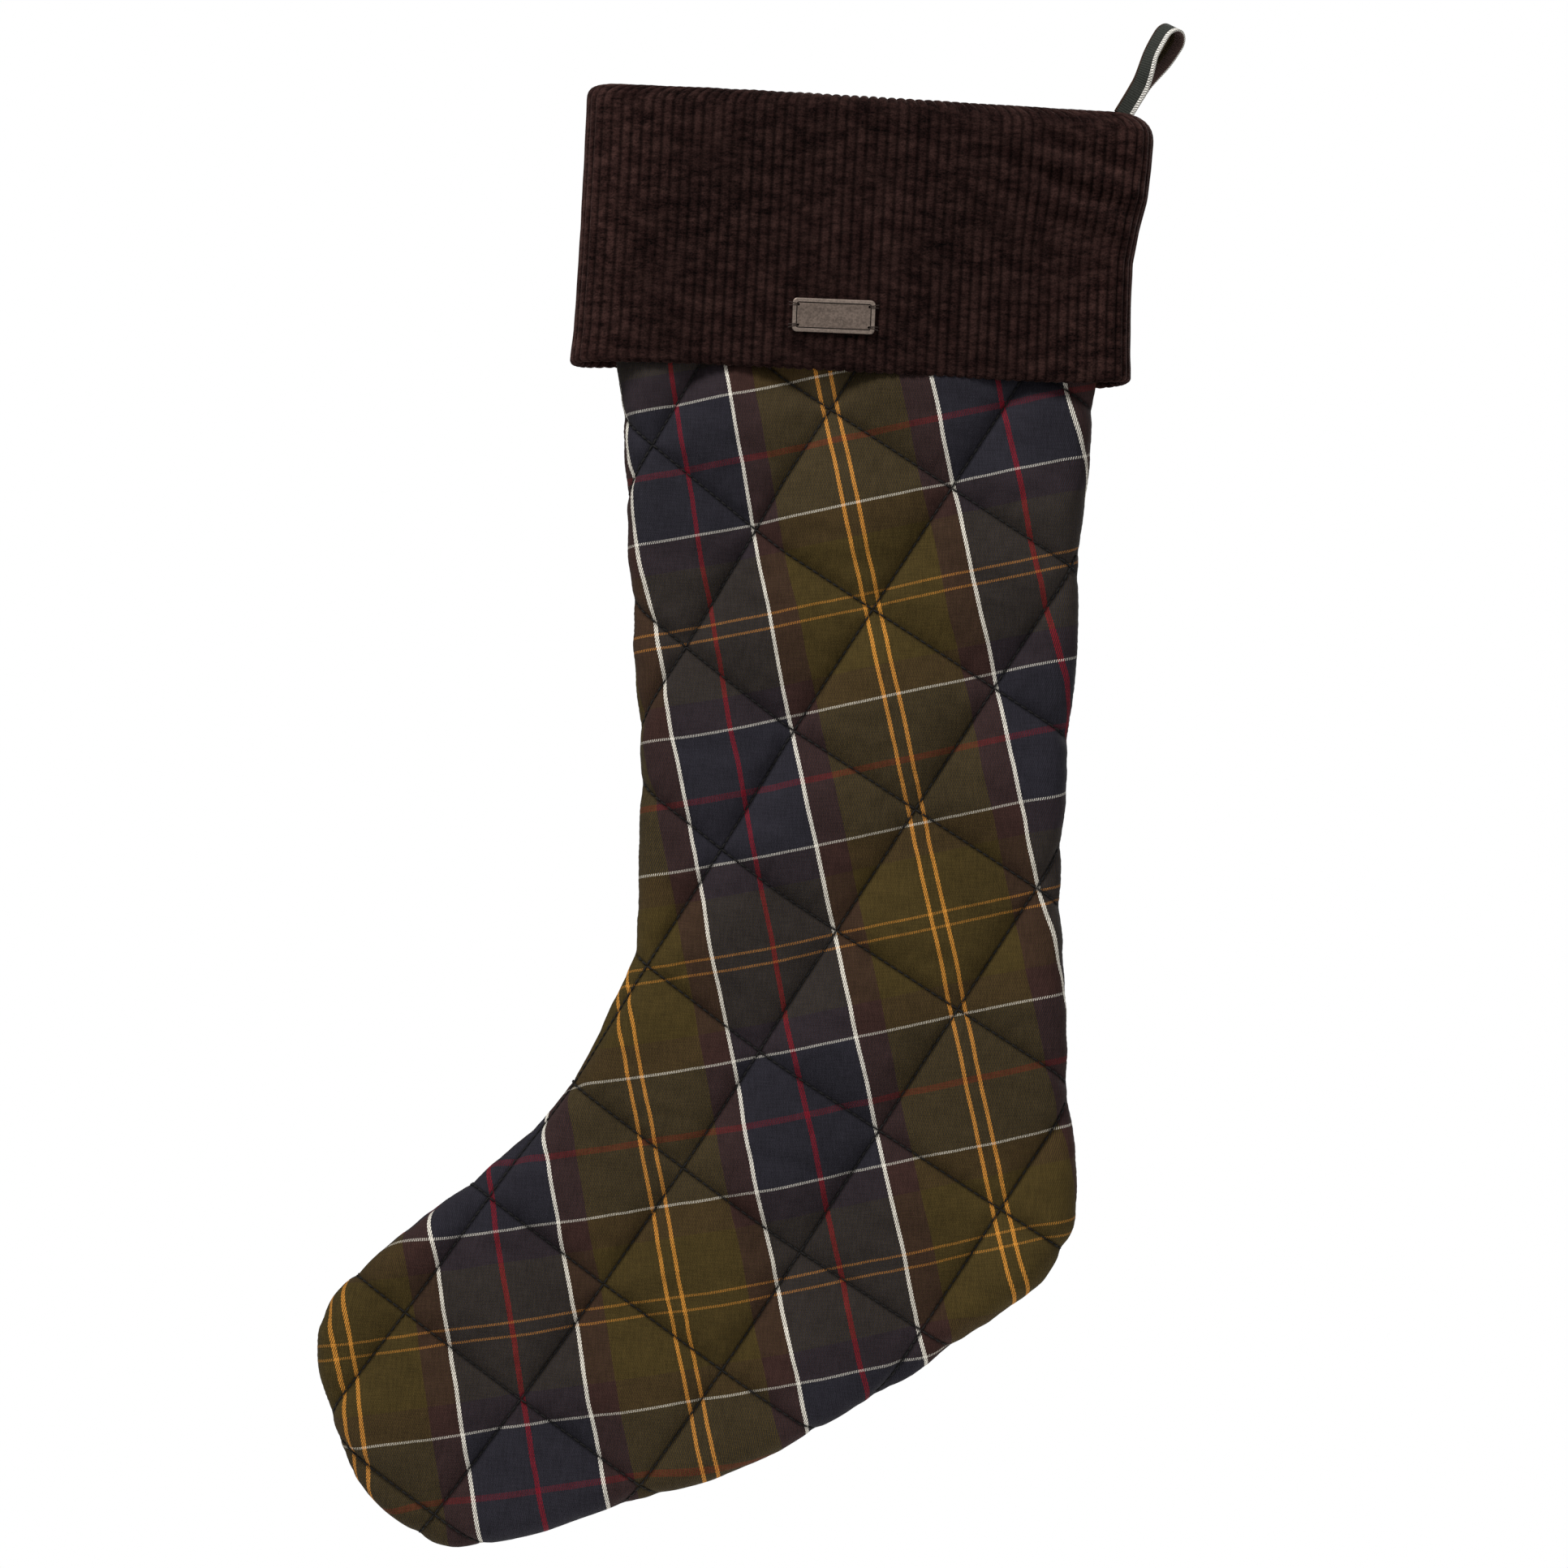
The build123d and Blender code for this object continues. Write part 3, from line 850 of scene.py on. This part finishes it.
def face_outwards(bm, facing, level):
    """Turns the faces over if the one in the middle of the cuff looks inwards."""
    centre = Vector((-0.1, facing * level, -0.07))
    middle = min(bm.faces, key=lambda face: (face.calc_center_median() - centre).length)
    if middle.normal.y * facing < 0:
        bmesh.ops.reverse_faces(bm, faces=bm.faces)


def cuff_half(name, facing, seed, replaces):
    """One half of the cuff, front or back, with its wales raised."""
    rows = cuff_rows()
    columns = wale_count * points_per_wale
    bm = bmesh.new()
    bmesh.ops.create_grid(bm, x_segments=columns, y_segments=len(rows) - 1, size=0.5)
    uv = bm.loops.layers.uv.new("wales")
    steps = [max(abs(lower[0] - upper[0]), 0.8 * mm) for upper, lower in zip(rows, rows[1:])]
    run = np.concatenate(([0], np.cumsum(steps)))
    spots = {}
    for v in bm.verts:
        spots[v] = (round((v.co.x + 0.5) * columns), round((0.5 - v.co.y) * (len(rows) - 1)))
    for face in bm.faces:
        for corner in face.loops:
            column, row = spots[corner.vert]
            corner[uv].uv = (column / points_per_wale, run[row])
    share = np.linspace(0, 1, columns + 1)
    sections = []
    for depth, out in rows:
        mixed = min(out, 1.0)
        inside = max(out - 1.0, 0.0) * 12 * mm
        width = lip_half_width + (cuff_half_width - lip_half_width) * mixed - inside
        tall = lip_half_depth + (cuff_half_depth - lip_half_depth) * mixed - inside
        corner = 5 * mm + 5.5 * mm * mixed
        x, y = half_section(width, tall, corner, share)
        sections.append((x, y, depth, mixed))
    for v, (column, row) in spots.items():
        x, y, depth, mixed = sections[row]
        across, level = x[column], y[column]
        side = across / cuff_half_width
        # the heel edge is drawn in below its top, and the hem hangs a little unevenly
        across += drawn_side(across, depth) * mixed
        drop = np.clip(-depth / hem_depth, 0, 1)
        # the rim stands nearly square at the toe side and rounder at the heel side
        squarer = 1 - (1 - mixed) ** (3.2 if side < 0 else 1.5)
        wider = (cuff_half_width - lip_half_width) * (squarer - mixed)
        across += math.copysign(wider * abs(side) ** 8, side)
        up = depth + mixed * (1 - drop) * 1.5 * mm * (math.cos(side * 1.9 + 0.5) - 0.55)
        up -= mixed * (1 - drop) * 1.9 * mm * (1 - 0.6 * max(side, 0) ** 6)
        up -= mixed * (1 - drop) ** 6 * 3.2 * mm * max(side, 0) ** 22
        up += drop ** 3 * (0.3 - 1.8 * max(-side, 0) ** 4 + 2.4 * max(side, 0) ** 8) * mm
        sway = noise.noise(Vector((across * 16, depth * 14, seed)))
        slack = noise.noise(Vector((across * 45, depth * 38, seed + 7)))
        push = (1.1 * sway + 0.5 * slack) * mm * mixed * min(1, -depth / (12 * mm) + 0.1)
        if facing < 0:
            # a few creases run down to the right below the heel-side corner
            slope = (up + 17 * mm) + (across - 47 * mm) * 0.34
            reach = math.exp(-((across - 74 * mm) / (24 * mm)) ** 2)
            reach *= math.exp(-((slope + 3 * mm) / (15 * mm)) ** 2)
            strayed = 1.6 * noise.noise(Vector((across * 30, 0, 3)))
            push += 2.6 * mm * reach * math.sin(slope / (2.1 * mm) + strayed)
        push = max(push, -1.7 * mm) * min(1.0, level / (8 * mm))
        v.co = to_stocking(across, facing * (level + push), up)
    if facing < 0:
        bmesh.ops.reverse_faces(bm, faces=bm.faces)
    bmesh.ops.recalc_face_normals(bm, faces=bm.faces)
    face_outwards(bm, facing, 0.0162)
    bm.normal_update()
    raised = {}
    for v, (column, row) in spots.items():
        phase = (column / points_per_wale) % 1
        ridge = 1 - abs(2 * phase - 1) ** 2.6
        crushed = 0.82 + 0.18 * noise.noise(Vector((column * 0.05, run[row] * 120, seed + 2)))
        ends = min(column, columns - column) / 5
        height = wale_height * ridge * crushed * min(1, ends + 0.2)
        raised[v] = v.co + v.normal * (height - 0.3 * mm)
    for v, place in raised.items():
        v.co = place
    obj = finish_piece(name, bm, corduroy, replaces)
    thick = obj.modifiers.new("cloth thickness", "SOLIDIFY")
    thick.thickness = pile_thickness
    thick.offset = -1
    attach(obj, "root")


cuff_half("cuff_front_corduroy", -1, 5.0, ["cuff_front"])
cuff_half("cuff_back_corduroy", 1, 25.0, ["cuff_back"])

# The cuff's facing: plain dark cloth behind each half of the corduroy, held under the rim.
facing_cloth = plain_cloth("cuff_facing_cloth", (0.010, 0.007, 0.006), (0.022, 0.016, 0.013))
for side, facing in (("front", -1), ("back", 1)):
    bm = bmesh.new()
    bmesh.ops.create_grid(bm, x_segments=120, y_segments=20, size=0.5)
    uv = bm.loops.layers.uv.new("cut")
    share = np.linspace(0, 1, 121)
    for v in bm.verts:
        column, row = round((v.co.x + 0.5) * 120), round((0.5 - v.co.y) * 20)
        depth = (-7.0 - 81.5 * row / 20) * mm
        x, y = half_section(
            cuff_half_width - 3.2 * mm, 13.4 * mm, 9 * mm, share[column:column + 1]
        )
        v.co = to_stocking(x[0] + drawn_side(x[0], depth), facing * y[0], depth)
    for face in bm.faces:
        for corner in face.loops:
            corner[uv].uv = (corner.vert.co.x, corner.vert.co.z)
    bm.normal_update()
    face_outwards(bm, facing, 0.0134)
    facing_piece = finish_piece(
        f"cuff_facing_{side}_sheet", bm, facing_cloth, [f"cuff_facing_{side}"]
    )
    thick = facing_piece.modifiers.new("cloth thickness", "SOLIDIFY")
    thick.thickness = 0.4 * mm
    thick.offset = -1
    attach(facing_piece, "root")

# Cuff threads: a seam up each side that joins its halves, and a line round the mouth that holds
# the lip to the lining.
stitches = []
for edge_side in (-1, 1):
    for step in range(31):
        low, high = -(8 + step * 2.6) * mm, -(10.1 + step * 2.6) * mm
        ends = []
        for depth in (low, high):
            across = cuff_half_width - 0.9 * mm
            across += edge_shift(heel_edge if edge_side > 0 else toe_edge, depth)
            ends.append(to_stocking(edge_side * across, 0, depth))
        stitches.append((ends[0], ends[1], Vector((edge_side, 0, 0))))
sew("cuff_seam_stitches", stitches, 0.3 * mm, black_thread, ["cuff_seam_threads"])

stitches = []
for facing in (-1, 1):
    places = np.linspace(0.02, 0.98, 64)
    x, y = half_section(lip_half_width - 0.6 * mm, lip_half_depth - 0.9 * mm, 5 * mm, places)
    for i in range(63):
        a = to_stocking(x[i], facing * y[i], -12.2 * mm)
        b = to_stocking(x[i + 1], facing * y[i + 1], -12.2 * mm)
        inwards = Vector((0, -facing, 0))
        stitches.append((a.lerp(b, 0.08), a.lerp(b, 0.9), inwards))
sew("mouth_seam_stitches", stitches, 0.26 * mm, black_thread, ["mouth_seam_thread"])

# The loop: a strip of the tartan, doubled along its white stripe so that the green half is
# outside and the plum half inside. Its tails are caught in the heel-side seam.
loop_lean, loop_turn = math.radians(31.5), math.radians(50)
strand_up = Vector((math.sin(loop_lean), 0, math.cos(loop_lean)))
tape_width, tape_thickness = 6.8 * mm, 1.2 * mm

tape_material, w, shader = cloth_shader("loop_tape", 0.9, 0.06)
place = w.node("TexCoord").outputs["UV"]
split = w.node("SeparateXYZ", {0: place})
# U runs round the folded strip in millimetres from its fold, V along it
around = split.outputs[0]
outer_half = w.node("ValToRGB", {0: w.sum("MULTIPLY_ADD", around, 1 / 20, 0.5)})
outer_half.color_ramp.interpolation = "CONSTANT"
stops = outer_half.color_ramp.elements
# painted light: the plum band from 0.26, on the inner half, is much lighter than the tartan's plum,
# to lift the shadow that falls between the strands
bands = [(0.0, (0.045, 0.034, 0.016)), (0.12, (0.130, 0.080, 0.025)), (0.18, (0.070, 0.050, 0.022)),
         (0.26, (0.120, 0.075, 0.066)), (0.445, (0.80, 0.77, 0.70)),
         (0.6575, (0.030, 0.032, 0.027)),
         (0.78, (0.034, 0.020, 0.014)), (0.83, (0.085, 0.055, 0.020))]
while len(stops) < len(bands):
    stops.new(1.0)
for stop, (start, _) in zip(stops, bands):
    stop.position = start
for stop, (_, colour) in zip(stops, bands):
    stop.color = (*colour, 1)
diagonal = w.sum("FRACT", w.sum("ADD", w.sum("DIVIDE", around, 1.9),
                                w.sum("DIVIDE", split.outputs[1], 0.92)))
rope = w.between(w.sum("ABSOLUTE", w.sum("SUBTRACT", diagonal, 0.5)), 0.26, 0.38, 1.0, 0.10)
white_part = w.sum("MULTIPLY", w.sum("GREATER_THAN", around, -1.1),
                   w.sum("LESS_THAN", around, 3.15))
streaks = w.sum("SUBTRACT", 1.0, w.sum("MULTIPLY", white_part, w.sum("SUBTRACT", 1.0, rope)))
# painted shade and light: the colour goes darker and lighter with the ribs of the weave, the same
# ribs that make the bump
ribs = w.sum("SINE", w.sum("MULTIPLY", split.outputs[1], 2 * math.pi / 0.8))
rib_tone = w.sum("MULTIPLY_ADD", ribs, 0.16, 1.0)
tone = w.sum("MULTIPLY", streaks, rib_tone)
fleck = w.noise(w.stretch(place, 3.0, 1.4), 1.0, 3.0)
tone = w.sum("MULTIPLY", tone, w.between(fleck, 0.3, 0.7, 0.80, 1.20))
w.tree.links.new(w.shade(outer_half.outputs[0], tone), shader.inputs["Base Color"])
bump = w.node("Bump", {"Height": ribs, "Strength": 0.6, "Distance": 0.00012})
w.tree.links.new(bump.outputs[0], shader.inputs["Normal"])


def loop_path():
    """Stations along the tape: how high each is, and how far from the middle of the loop."""
    stations = []
    strand = 4.0 * mm + tape_thickness / 2
    for step in range(17):
        t = step / 16
        rise = -31.0 * mm * (1 - t)
        spread = strand * (1 - min(-rise / (18.5 * mm), 1) ** 2.2)
        stations.append((rise, -max(spread, tape_thickness * 0.55)))
    for step in range(1, 24):
        a = math.pi * step / 24
        stations.append((strand * math.sin(a), -strand * math.cos(a)))
    stations += [(rise, -offset) for rise, offset in stations[:17][::-1]]
    return stations


stations = loop_path()
centres, widths = [], []
for rise, offset in stations:
    untwisted = min(max((-rise - 8 * mm) / (14 * mm), 0), 1)
    twist = loop_turn + (math.radians(90) - loop_turn) * untwisted
    hook = Matrix.Rotation(twist, 3, strand_up) @ Vector((0, -1, 0))
    across = strand_up.cross(hook)
    middle = strand_up * rise
    centres.append(middle + across * offset)
    widths.append(hook)

section_steps = 12
bm = bmesh.new()
bmesh.ops.create_grid(bm, x_segments=section_steps, y_segments=len(stations) - 1, size=0.5)
uv = bm.loops.layers.uv.new("tape")
lengths = np.concatenate(([0], np.cumsum([(b - a).length for a, b in zip(centres, centres[1:])])))
spots = {}
for v in bm.verts:
    spots[v] = (round((v.co.x + 0.5) * section_steps),
                round((v.co.y + 0.5) * (len(stations) - 1)))
half = tape_thickness / 2
for v, (column, row) in spots.items():
    before, after = centres[max(row - 1, 0)], centres[min(row + 1, len(centres) - 1)]
    along = (after - before).normalized()
    wide = widths[row]
    wide = (wide - along * wide.dot(along)).normalized()
    outward = along.cross(wide)
    angle = math.radians(-178 + 356 * column / section_steps)
    # the two edges of the strip: the fold at the front, the turned-in edge at the back
    flatness = 0.34
    reach = math.copysign(abs(math.cos(angle)) ** flatness, math.cos(angle))
    rise = math.copysign(abs(math.sin(angle)) ** flatness, math.sin(angle))
    bow = 0.25 * mm * (1 - reach ** 2)
    v.co = centres[row] + wide * (reach * (tape_width / 2 - 0.1 * mm))
    v.co += outward * (rise * half * 0.9 + bow)
for face in bm.faces:
    for corner in face.loops:
        column, row = spots[corner.vert]
        angle = -178 + 356 * column / section_steps
        corner[uv].uv = (-angle / 178 * 8.0, lengths[row] * 1000)
bmesh.ops.remove_doubles(bm, verts=bm.verts, dist=0.06 * mm)
ends = [e for e in bm.edges if e.is_boundary]
bmesh.ops.holes_fill(bm, edges=ends, sides=0)
bmesh.ops.recalc_face_normals(bm, faces=bm.faces)
loop = finish_piece("hanging_loop_tape", bm, tape_material, ["loop_stem", "loop_eye"])
fine = loop.modifiers.new("smooth", "SUBSURF")
fine.levels = fine.render_levels = 2
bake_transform(loop)

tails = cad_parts["loop_tails"]
tails.data.materials.clear()
tails.data.materials.append(
    plain_cloth("loop_tails_cloth", (0.020, 0.021, 0.018), (0.045, 0.047, 0.040), "Object", 1500.0)
)

# The badge: a cast metal plate with a raised rim, aged dark in its hollows and left blank, sewn
# on through a hole in each corner with two turns of brown thread.
badge_metal = bpy.data.materials.new("badge_metal")
badge_metal.use_nodes = True
w = Wiring(badge_metal.node_tree)
shader = badge_metal.node_tree.nodes["Principled BSDF"]
shader.inputs["Metallic"].default_value = 0.75
place = w.node("TexCoord").outputs["Object"]
split = w.node("SeparateXYZ", {0: place})
raised = w.between(split.outputs[1], -17.79 * mm, -17.89 * mm)
low = w.between(split.outputs[1], -17.74 * mm, -17.60 * mm)
grain = w.noise(place, 1500.0, 4.0, 0.6)
smear = w.noise(w.stretch(place, 90, 1, 500), 1.0, 3.0)
tone = w.sum("ADD", w.between(grain, 0.3, 0.7, 0.84, 1.12), w.between(smear, 0.3, 0.7, -0.12, 0.12))
base = w.mix(raised, (0.172, 0.130, 0.106, 1), (0.240, 0.188, 0.156, 1))
base = w.mix(low, base, (0.018, 0.014, 0.012, 1))
w.tree.links.new(w.shade(base, tone), shader.inputs["Base Color"])
w.tree.links.new(w.between(grain, 0.3, 0.7, 0.38, 0.56), shader.inputs["Roughness"])
cast = w.node("Bump", {"Height": grain, "Strength": 0.35, "Distance": 0.00006})
w.tree.links.new(cast.outputs[0], shader.inputs["Normal"])
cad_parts["badge"].data.materials.clear()
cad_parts["badge"].data.materials.append(badge_metal)

badge_fall = math.radians(2.3)
badge_right = Vector((math.cos(badge_fall), 0, -math.sin(badge_fall)))
badge_up = Vector((math.sin(badge_fall), 0, math.cos(badge_fall)))
badge_middle = Vector((-111.8 * mm, -17.9 * mm, -93.3 * mm))
badge_thread = thread_material("badge_thread", (0.030, 0.020, 0.016))
stitches = []
for across in (-1, 1):
    for up in (-1, 1):
        for strand in (-0.22, 0.22):
            outwards = badge_right * across * mm
            hole = badge_middle + outwards * 11.8 + badge_up * (up * 3.4 + strand) * mm
            rim_top = badge_middle + outwards * 13.3 + badge_up * (up * 3.5 + strand * 1.6) * mm
            cloth = badge_middle + outwards * 15.0 + badge_up * (up * 3.7 + strand * 2.4) * mm
            hole.y, rim_top.y, cloth.y = -17.55 * mm, -18.12 * mm, -16.7 * mm
            stitches.append((hole, rim_top + badge_right * across * 0.25 * mm, Vector((0, -1, 0))))
            stitches.append((rim_top, cloth, Vector((across * 0.6, -1, 0))))
sew("badge_tacks", stitches, 0.21 * mm, badge_thread, ["badge_threads"])
